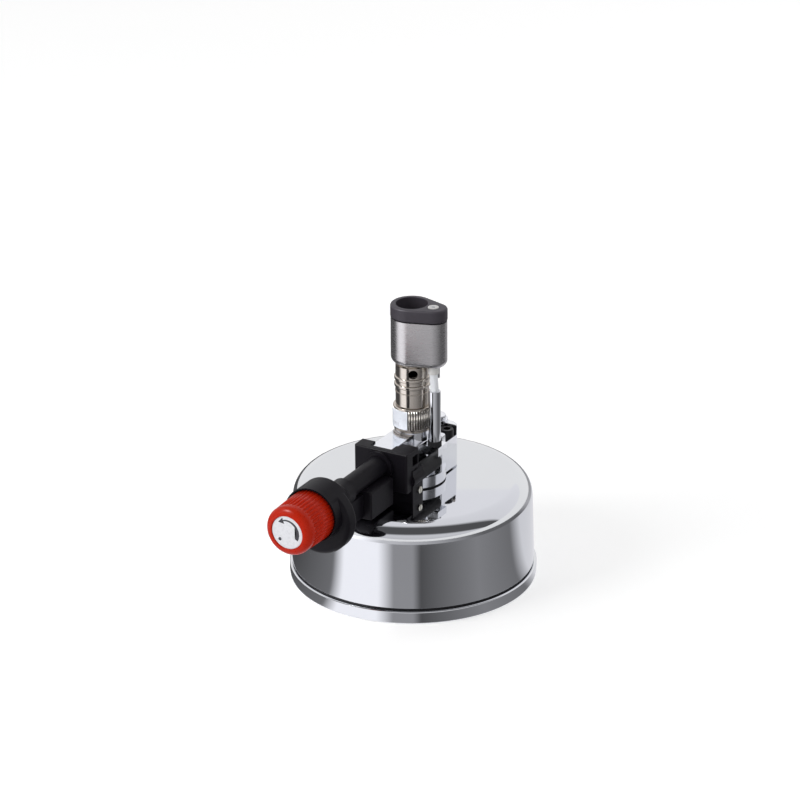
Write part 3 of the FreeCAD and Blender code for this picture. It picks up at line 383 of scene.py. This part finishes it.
rib_skin = rib_tree.nodes.new("GeometryNodeSetMaterial")
for start, end in (
    (rib_in.outputs["Ribs"], rib_circle.inputs["Vertices"]),
    (rib_in.outputs["Circle"], rib_circle.inputs["Radius"]),
    (rib_in.outputs["Rib Radius"], rib_shape.inputs["Radius"]),
    (rib_in.outputs["Rib Length"], rib_shape.inputs["Depth"]),
    (rib_index.outputs["Index"], rib_count.inputs[0]),
    (rib_in.outputs["Group"], rib_count.inputs[1]),
    (rib_count.outputs["Value"], rib_keep.inputs["A"]),
    (rib_in.outputs["Kept"], rib_keep.inputs["B"]),
    (rib_spot.outputs["Position"], rib_slant.inputs[0]),
    (rib_in.outputs["Lean"], rib_slant.inputs[1]),
    (rib_slant.outputs["Vector"], rib_rise.inputs[0]),
    (rib_rise.outputs["Vector"], rib_aim.inputs["Vector"]),
    (rib_circle.outputs["Mesh"], rib_set.inputs["Points"]),
    (rib_keep.outputs["Result"], rib_set.inputs["Selection"]),
    (rib_shape.outputs["Mesh"], rib_set.inputs["Instance"]),
    (rib_aim.outputs["Rotation"], rib_set.inputs["Rotation"]),
    (rib_set.outputs["Instances"], rib_place.inputs["Geometry"]),
    (rib_in.outputs["Turned"], rib_place.inputs["Rotation"]),
    (rib_in.outputs["Place"], rib_place.inputs["Translation"]),
    (rib_place.outputs["Geometry"], rib_real.inputs["Geometry"]),
    (rib_real.outputs["Geometry"], rib_smooth.inputs["Geometry"]),
    (rib_smooth.outputs["Geometry"], rib_skin.inputs["Geometry"]),
    (rib_in.outputs["Material"], rib_skin.inputs["Material"]),
    (rib_skin.outputs["Geometry"], rib_out.inputs["Geometry"]),
):
    rib_tree.links.new(start, end)
# Painted highlight: the ribs are a much lighter nickel than the barrel, so that they show bright as if lit.
worn_nickel = finish("worn_nickel", (0.93, 0.89, 0.82), 0.2, 1.0, (900, 900, 9000), relief=0.05, worn=0.93)
ring_ribs = 46
ring_knurl = made_by(
    rib_tree, "ring_knurl", ribs=ring_ribs, group=float(ring_ribs), kept=float(ring_ribs),
    circle=0.001 * (valley_radius + 0.1), rib_radius=0.00028,
    rib_length=0.001 * (knurl_high - knurl_low + knurl_step), lean=(0, 0, 0), turned=(0, 0, 0),
    place=(0, 0, 0.0005 * (knurl_low + knurl_high)), material=worn_nickel,
)
fit(ring_knurl, worn_nickel, "flame_ring", "nickel")
# Painted shade: a dark nickel sleeve just under the ribs darkens the valleys between them, where shade would
# fall.
dull_nickel = finish("dull_nickel", (0.11, 0.1, 0.088), 0.45, 0.8, (900, 900, 900), worn=0.7)
valley_shade_inside = valley_radius - 0.25
valley_shade_outside = valley_radius + 0.04
ring_valleys = turned("ring_valleys", [
    (valley_shade_inside, knurl_low, 0), (valley_shade_outside, knurl_low, 0),
    (valley_shade_outside, knurl_high, 0), (valley_shade_inside, knurl_high, 0),
])
fit(ring_valleys, dull_nickel, "flame_ring", "nickel")


def curved_band(name, radius, thick, low, high, start, end, steps=40):
    """A thin band round the tube axis between two angles, in millimetres and degrees."""
    work = bmesh.new()
    rows = []
    for k in range(steps + 1):
        turn = math.radians(start + (end - start) * k / steps)
        rows.append([
            work.verts.new((r * math.cos(turn), r * math.sin(turn), z))
            for r, z in ((radius - thick, low), (radius, low), (radius, high), (radius - thick, high))
        ])
    for here, beside in zip(rows, rows[1:]):
        for i in range(4):
            work.faces.new((here[i], beside[i], beside[(i + 1) % 4], here[(i + 1) % 4]))
    work.faces.new(rows[0])
    work.faces.new(reversed(rows[-1]))
    bmesh.ops.recalc_face_normals(work, faces=work.faces)
    mesh = bpy.data.meshes.new(name)
    work.to_mesh(mesh)
    work.free()
    mesh.transform(Matrix.Scale(0.001, 4))
    return shown(name, mesh)


pale_label = finish("pale_label", (0.83, 0.86, 0.93), 0.3, grain=(700, 700, 700), relief=0.02, worn=0.95)
label_ink = finish("label_ink", (0.035, 0.04, 0.055), 0.45, grain=(2500, 2500, 2500), relief=0.02)
band_radius = ring_high.x + 0.16
band_thick = 0.3
band_start = -200
band_end = -76
ring_band = curved_band("ring_band", band_radius, band_thick, knurl_low, knurl_high, band_start, band_end)
fit(ring_band, pale_label, "flame_ring", "badge_white")
mark_places = 60
mark_count = 6
mark_start = math.radians(-136)
mark_length = 1.2
mark_height = knurl_low + 1.5
ring_marks = made_by(
    rib_tree, "ring_marks", ribs=mark_places, group=float(mark_places), kept=float(mark_count),
    circle=0.001 * (band_radius - 0.04), rib_radius=0.00006, rib_length=0.001 * mark_length,
    lean=(0, 0, 0), turned=(0, 0, mark_start), place=(0, 0, 0.001 * mark_height), material=label_ink,
)
fit(ring_marks, label_ink, "flame_ring", "screw_black")

# Air sleeve: a turned and nickelled collar that turns over the tube's air holes. Two
# round beads and a fine line give the fingers a hold.
fit(from_solid("sleeve_collar", "air_sleeve", 0.06), warm_nickel, "air_sleeve", "nickel", "air_sleeve")
line_low = span("air_sleeve")[0].z + 4.4
line_high = line_low + 0.4
line_radius = 5.52
line_root = 5.3
line_edge = 0.1
sleeve_line = turned("sleeve_line", [
    (line_root, line_low, 0), (line_radius, line_low, line_edge),
    (line_radius, line_high, line_edge), (line_root, line_high, 0),
], 96)
fit(sleeve_line, warm_nickel, "air_sleeve", "nickel")

# Head: a shroud drawn from stainless sheet and brushed round, under a matt charcoal cap
# of sintered metal. Both are drop-shaped, so that the nose covers the electrode.
brushed_steel = finish(
    "brushed_steel", (0.55, 0.535, 0.54), 0.27, 1.0, (350, 350, 26000), relief=0.09, uneven=0.06, worn=0.86
)
charcoal = finish(
    "charcoal", (0.056, 0.049, 0.062), 0.5, 0.2, (5000, 5000, 5000), relief=0.22, worn=0.7, shine=0.4
)
fit(from_solid("shroud_skin", "head_shroud"), brushed_steel, "base", "head_steel", "head_shroud")
fit(from_solid("cap_plug", "head_cap", 0.12), charcoal, "base", "head_dark", "head_cap")

# Electrode: a plain off-white ceramic rod with a steel wire down its middle, let into the
# head and kept from dropping by a small spring clip.
bare_ceramic = finish("bare_ceramic", (0.72, 0.71, 0.7), 0.5, grain=(3000, 3000, 3000), worn=0.88)
ceramic_rod = from_solid("ceramic_rod", "electrode_insulator", 0.12)
fit(ceramic_rod, bare_ceramic, "base", "ceramic_white", "electrode_insulator")
fit(from_solid("holding_clip", "insulator_clip", 0.1), drawn_steel, "base", "spring_steel", "insulator_clip")
paint(drawn_steel, "electrode_wire")

# Lead and conduit: a white high-tension lead comes up out of a rubber boot, passes the
# block's lug in a black gland, and runs on in a chromed tube.
white_insulation = finish("white_insulation", (0.86, 0.88, 0.92), 0.4, grain=(1200, 1200, 1200), worn=0.92)
fit(from_solid("lead_cover", "ignition_lead"), white_insulation, "base", "lead_white", "ignition_lead")
fit(from_solid("gland_nut", "conduit_gland", 0.15), black_rubber, "base", "rubber_black", "conduit_gland")
fit(from_solid("conduit_pipe", "lead_conduit", 0.12), bright_chrome, "base", "block_chrome", "lead_conduit")
fit(from_solid("boot_sleeve", "lead_boot"), black_rubber, "base", "rubber_black", "lead_boot")

# Igniter bracket: black moulded plastic with a satin skin, which straddles the block's
# tongue and sits on the tank. A pale slotted screw holds each side.
black_case = finish(
    "black_case", (0.0085, 0.0072, 0.0105), 0.46, grain=(2600, 2600, 2600),
    relief=0.12, worn=0.75, shine=0.12,
)
bright_zinc = finish("bright_zinc", (0.68, 0.66, 0.58), 0.24, 1.0, (2500, 2500, 2500), relief=0.08)
fit(from_solid("bracket_case", "igniter_bracket", 0.2), black_case, "base", "case_black", "igniter_bracket")
fit(from_solid("slotted_screws", "bracket_screws", 0.1), bright_zinc, "base", "screw_pale", "bracket_screws")

# Guard and housing: two black mouldings in line, a round guard that shields the fingers
# and a barrel with the spark unit's box under it.
spark_plastic = finish("spark_plastic", (0.16, 0.16, 0.18), 0.5, grain=(900, 900, 900))
fit(from_solid("guard_shell", "knob_guard", 0.12), black_case, "base", "case_black", "knob_guard")
fit(from_solid("barrel_case", "igniter_housing", 0.25), black_case, "base", "case_black", "igniter_housing")
paint(spark_plastic, "spark_unit")

# Knob: moulded in orange-red plastic with a smooth rounded face and round ribs along its
# side. It is hollow behind, and a screw holds its hub on the push rod.
knob_red = finish(
    "knob_red", (0.54, 0.018, 0.002), 0.3, grain=(1800, 1800, 1800), relief=0.04, worn=0.9, shine=0.12
)
knob_low, knob_high = span("knob")
knob_axis = (knob_low.z + knob_high.z) / 2
knob_length = knob_high.y - knob_low.y
rod_bore = 1.45
hub_radius = 3.0
hub_end = 12.0
screw_room = 2.3
screw_floor = 2.35
badge_seat = 5.4
badge_floor = 0.75
badge_edge = 0.25
face_radius = 7.95
face_round = 2.4
face_band = 3.4
rib_root = 7.7
rib_root_start = 4.6
rib_root_round = 0.8
rear_radius = 8.0
rear_edge = 0.2
cavity_radius = 6.4
cavity_floor = 8.5
knob_cup = turned("knob_cup", [
    (rod_bore, screw_floor, 0), (screw_room, screw_floor, 0), (screw_room, badge_floor, 0),
    (badge_seat, badge_floor, 0), (badge_seat, 0, badge_edge), (face_radius, 0, face_round),
    (face_radius - 0.05, face_band, rib_root_round), (rib_root, rib_root_start, rib_root_round),
    (rear_radius, knob_length, rear_edge), (cavity_radius, knob_length, rear_edge),
    (cavity_radius, cavity_floor, 0),
    (hub_radius, cavity_floor, 0), (hub_radius, hub_end, 0), (rod_bore, hub_end, 0),
], 160, (0, knob_low.y, knob_axis), "y")
fit(knob_cup, knob_red, "knob", "knob_red", "knob")
knob_rib_count = 40
rib_start = 3.2
rib_end = 15.1
rib_middle = knob_low.y + (rib_start + rib_end) / 2
knob_ribs = made_by(
    rib_tree, "knob_ribs", ribs=knob_rib_count, group=float(knob_rib_count), kept=float(knob_rib_count),
    circle=0.00755, rib_radius=0.00058, rib_length=0.001 * (rib_end - rib_start), lean=(5.0, 5.0, 0),
    turned=(-math.pi / 2, 0, 0), place=(0, 0.001 * rib_middle, 0.001 * knob_axis), material=knob_red,
)
fit(knob_ribs, knob_red, "knob", "knob_red")

# Badge: a silvery white disc pressed into the face of the knob, with a plain turning
# arrow and a dot printed on it.
badge_silver = finish("badge_silver", (0.8, 0.81, 0.85), 0.28, relief=0.02, worn=0.95)
badge_ink = finish("badge_ink", (0.03, 0.03, 0.04), 0.4, grain=(2500, 2500, 2500), relief=0.02)
badge_low, badge_high = span("knob_badge")
badge_thick = badge_high.y - badge_low.y
badge_disc = turned("badge_disc", [
    (0, 0, 0), (badge_high.x, 0, 0.12), (badge_high.x, badge_thick, 0), (0, badge_thick, 0),
], 96, (0, badge_low.y, knob_axis), "y")
fit(badge_disc, badge_silver, "knob", "badge_white", "knob_badge")
arrow_radius = 4.2
arrow_tail_width = 1.1
arrow_neck_width = 0.4
arrow_head_inside = 2.9
arrow_head_outside = 4.9
arrow_tip_radius = 4.3
arrow_turns = (-30, 110, 136)
dot_radius = 0.55
dot_place = -2.6
ink_front = badge_low.y - 0.03
ink_back = badge_low.y + 0.05


def on_badge(reach, turn):
    """A point on the disc, from its middle and the turn from its right side."""
    return reach * math.cos(turn), reach * math.sin(turn)


def badge_print(steps=40):
    """The arrow and the dot, as thin flat prints on the disc."""
    tail, neck, tip = (math.radians(turn) for turn in arrow_turns)
    outer = []
    inner = []
    for k in range(steps + 1):
        turn = tail + (neck - tail) * k / steps
        width = arrow_tail_width + (arrow_neck_width - arrow_tail_width) * k / steps
        outer.append(on_badge(arrow_radius, turn))
        inner.append(on_badge(arrow_radius - width, turn))
    shaft = outer + inner[::-1]
    head = [
        on_badge(arrow_head_outside, neck), on_badge(arrow_tip_radius, tip),
        on_badge(arrow_head_inside, neck),
    ]
    dot = []
    for k in range(24):
        x, z = on_badge(dot_radius, k * math.pi / 12)
        dot.append((x + dot_place, z + dot_place))
    work = bmesh.new()
    for shape in (shaft, head, dot):
        front = [work.verts.new((x, ink_front, z + knob_axis)) for x, z in shape]
        back = [work.verts.new((x, ink_back, z + knob_axis)) for x, z in shape]
        work.faces.new(front)
        work.faces.new(back[::-1])
        for k in range(len(shape)):
            j = (k + 1) % len(shape)
            work.faces.new((front[k], front[j], back[j], back[k]))
    bmesh.ops.triangulate(work, faces=work.faces)
    bmesh.ops.recalc_face_normals(work, faces=work.faces)
    mesh = bpy.data.meshes.new("badge_print")
    work.to_mesh(mesh)
    work.free()
    mesh.transform(Matrix.Scale(0.001, 4))
    return shown("badge_print", mesh)


fit(badge_print(), badge_ink, "knob", "screw_black")

# Push rod and valve: a steel rod carries the knob's screw in front and the valve stem
# behind. A wound spring in the knob pushes it back.
paint(drawn_steel, "push_rod", "knob_screw", "valve_stem")
paint(black_rubber, "valve_seat")
knob_room_low, knob_room_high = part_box("return_spring")
knob_wire = 0.00035
knob_inset = knob_wire + 0.00005
knob_coil = made_by(
    coil_tree, "knob_coil", turns=7.0, radius=knob_room_high.x - knob_inset,
    length=knob_room_high.y - knob_room_low.y - 2 * knob_inset, wire=knob_wire,
    turned=(-math.pi / 2, 0, 0), material=drawn_steel,
    place=(0, knob_room_low.y + knob_inset, (knob_room_low.z + knob_room_high.z) / 2),
)
fit(knob_coil, drawn_steel, "base", "spring_steel", "return_spring")
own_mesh(knob_coil)


# Studio: a plain white floor in a white room, soft lamps, a small one for glints, and three
# glowing grey cards that paint reflections only polished metal sees. The camera stands where the
# photograph's stood.
def flat_ring(name, inner, outer, height, centre=(0, 0), steps=128):
    """A level ring round a centre, in metres."""
    mesh = bpy.data.meshes.new(name)
    corners = []
    for k in range(steps):
        turn = 2 * math.pi * k / steps
        for reach in (inner, outer):
            corners.append((centre[0] + reach * math.cos(turn), centre[1] + reach * math.sin(turn), height))
    faces = [(2 * k, 2 * k + 1, (2 * k + 3) % (2 * steps), (2 * k + 2) % (2 * steps)) for k in range(steps)]
    mesh.from_pydata(corners, [], faces)
    ring = bpy.data.objects.new(name, mesh)
    bpy.context.scene.collection.objects.link(ring)
    return ring


def seen_rays(tree):
    """One for the rays that look at a thing, straight, in a mirror or through glass."""
    rays = tree.nodes.new("ShaderNodeLightPath")
    straight = tree.nodes.new("ShaderNodeMath")
    straight.operation = "MAXIMUM"
    through = tree.nodes.new("ShaderNodeMath")
    through.operation = "MAXIMUM"
    tree.links.new(rays.outputs["Is Camera Ray"], straight.inputs[0])
    tree.links.new(rays.outputs["Is Glossy Ray"], straight.inputs[1])
    tree.links.new(straight.outputs[0], through.inputs[0])
    tree.links.new(rays.outputs["Is Transmission Ray"], through.inputs[1])
    return through.outputs[0]


floor = flat_ring("floor", 0, 8, 0)
pale_floor = bpy.data.materials.new("pale_floor")
pale_floor.use_nodes = True
floor_tree = pale_floor.node_tree
floor_skin = floor_tree.nodes["Principled BSDF"]
floor_skin.inputs["Base Color"].default_value = (0.86, 0.86, 0.86, 1.0)
floor_skin.inputs["Roughness"].default_value = 0.9
floor_skin.inputs["Specular IOR Level"].default_value = 0.1
floor_skin.inputs["Emission Color"].default_value = (1, 1, 1, 1)
floor_glow = floor_tree.nodes.new("ShaderNodeMath")
floor_glow.operation = "MULTIPLY"
floor_glow.inputs[1].default_value = 0.42
floor_tree.links.new(seen_rays(floor_tree), floor_glow.inputs[0])
floor_tree.links.new(floor_glow.outputs[0], floor_skin.inputs["Emission Strength"])
floor.data.materials.append(pale_floor)


def grey_card(card, kind, shift, turn, size, tones):
    """Makes a stage ring a glowing card of grey tones, a painted reflection for mirrored rays alone."""
    grey = bpy.data.materials.new(card.name)
    grey.use_nodes = True
    tree = grey.node_tree
    tree.nodes.clear()
    place = tree.nodes.new("ShaderNodeTexCoord")
    lay = tree.nodes.new("ShaderNodeMapping")
    lay.inputs["Location"].default_value = shift
    lay.inputs["Rotation"].default_value = (0, 0, math.radians(turn))
    lay.inputs["Scale"].default_value = (size, size, size)
    fade = tree.nodes.new("ShaderNodeTexGradient")
    fade.gradient_type = kind
    ramp = tree.nodes.new("ShaderNodeValToRGB")
    glow = tree.nodes.new("ShaderNodeEmission")
    end = tree.nodes.new("ShaderNodeOutputMaterial")
    stops = ramp.color_ramp.elements
    while len(stops) < len(tones):
        stops.new(1.0)
    for stop, (at, tone) in zip(stops, tones):
        stop.position = at
        stop.color = (tone, tone, tone * 1.04, 1.0)
    tree.links.new(place.outputs["Object"], lay.inputs["Vector"])
    tree.links.new(lay.outputs["Vector"], fade.inputs["Vector"])
    tree.links.new(fade.outputs["Fac"], ramp.inputs["Fac"])
    tree.links.new(ramp.outputs["Color"], glow.inputs["Color"])
    tree.links.new(glow.outputs["Emission"], end.inputs["Surface"])
    card.data.materials.append(grey)
    card.visible_camera = False
    card.visible_diffuse = False
    card.visible_transmission = False
    card.visible_shadow = False


# Painted reflections: glowing grey rings on the floor, seen only in polished metal, stand in for
# surroundings.
card_lift = 0.0002
card_start = 0.0405
card_seam = 0.12
card_end = 0.9
near_card = flat_ring("near_card", card_start, card_seam, card_lift)
grey_card(near_card, "RADIAL", (-0.0096, 0.017, 0), 0, 1.0, (
    (0.0, 0.08), (0.12, 0.2), (0.15, 1.2), (0.24, 1.2), (0.28, 0.35), (0.33, 0.35), (0.35, 0.1),
    (0.5, 0.28), (0.6, 0.2), (0.64, 0.8), (0.78, 0.8), (0.9, 0.1), (1.0, 0.08),
))
far_card = flat_ring("far_card", card_seam, card_end, card_lift)
grey_card(far_card, "RADIAL", (0, 0, 0), 0, 1.0, (
    (0.0, 0.1), (0.06, 0.1), (0.12, 1.5), (0.2, 1.5), (0.26, 0.7), (0.4, 0.4), (0.5, 0.15),
    (0.62, 0.15), (0.68, 0.5), (0.9, 0.1), (1.0, 0.1),
))
top_card = flat_ring("top_card", 0, 0.81, 0.24, (0.192, -0.339))
grey_card(top_card, "LINEAR", (0.26, 0, 0), 60.5, 0.617, (
    (0.0, 0.95), (0.27, 0.85), (0.3, 0.1), (0.42, 0.1), (0.48, 0.75), (1.0, 0.6),
))

world = bpy.data.worlds.new("white_room")
bpy.context.scene.world = world
world.use_nodes = True
sky = world.node_tree
sky.nodes.clear()
dim = sky.nodes.new("ShaderNodeBackground")
dim.inputs["Color"].default_value = (1, 1, 1, 1)
dim.inputs["Strength"].default_value = 0.42
white = sky.nodes.new("ShaderNodeBackground")
white.inputs["Color"].default_value = (1, 1, 1, 1)
choose = sky.nodes.new("ShaderNodeMixShader")
out = sky.nodes.new("ShaderNodeOutputWorld")
sky.links.new(seen_rays(sky), choose.inputs[0])
sky.links.new(dim.outputs[0], choose.inputs[1])
sky.links.new(white.outputs[0], choose.inputs[2])
sky.links.new(choose.outputs[0], out.inputs[0])

lamp_aim = Vector((0, 0, 0.04))
for name, spot, size, power, glint in (
    ("key_lamp", (-0.75, -0.95, 0.6), 0.7, 9.0, False),
    ("fill_lamp", (0.9, -0.4, 0.8), 0.8, 1.8, False),
    ("back_lamp", (0.2, 0.9, 0.9), 0.6, 2.0, False),
    ("glint_lamp", (-0.5, -0.55, 0.86), 0.16, 14.0, True),
):
    lamp = bpy.data.lights.new(name, "AREA")
    lamp.energy = power
    lamp.size = size
    stand = bpy.data.objects.new(name, lamp)
    stand.location = spot
    stand.rotation_euler = (lamp_aim - Vector(spot)).to_track_quat("-Z", "Y").to_euler()
    stand.visible_glossy = glint
    stand.visible_diffuse = not glint
    bpy.context.scene.collection.objects.link(stand)

camera = bpy.data.cameras.new("camera")
camera.sensor_width = 36
camera.lens = 156.84
camera.clip_start = 0.01
eye_place = (0.49791, -0.88803, 0.4973)
eye_round = math.radians(29.5)
eye_down = math.radians(23.2554)
eye_roll = math.radians(-0.3846)
eye = bpy.data.objects.new("camera", camera)
eye.matrix_world = (
    Matrix.Translation(eye_place)
    @ Matrix.Rotation(eye_round, 4, "Z")
    @ Matrix.Rotation(math.pi / 2 - eye_down, 4, "X")
    @ Matrix.Rotation(eye_roll, 4, "Z")
)
bpy.context.scene.collection.objects.link(eye)
bpy.context.scene.camera = eye
bpy.context.scene.view_settings.view_transform = "Standard"
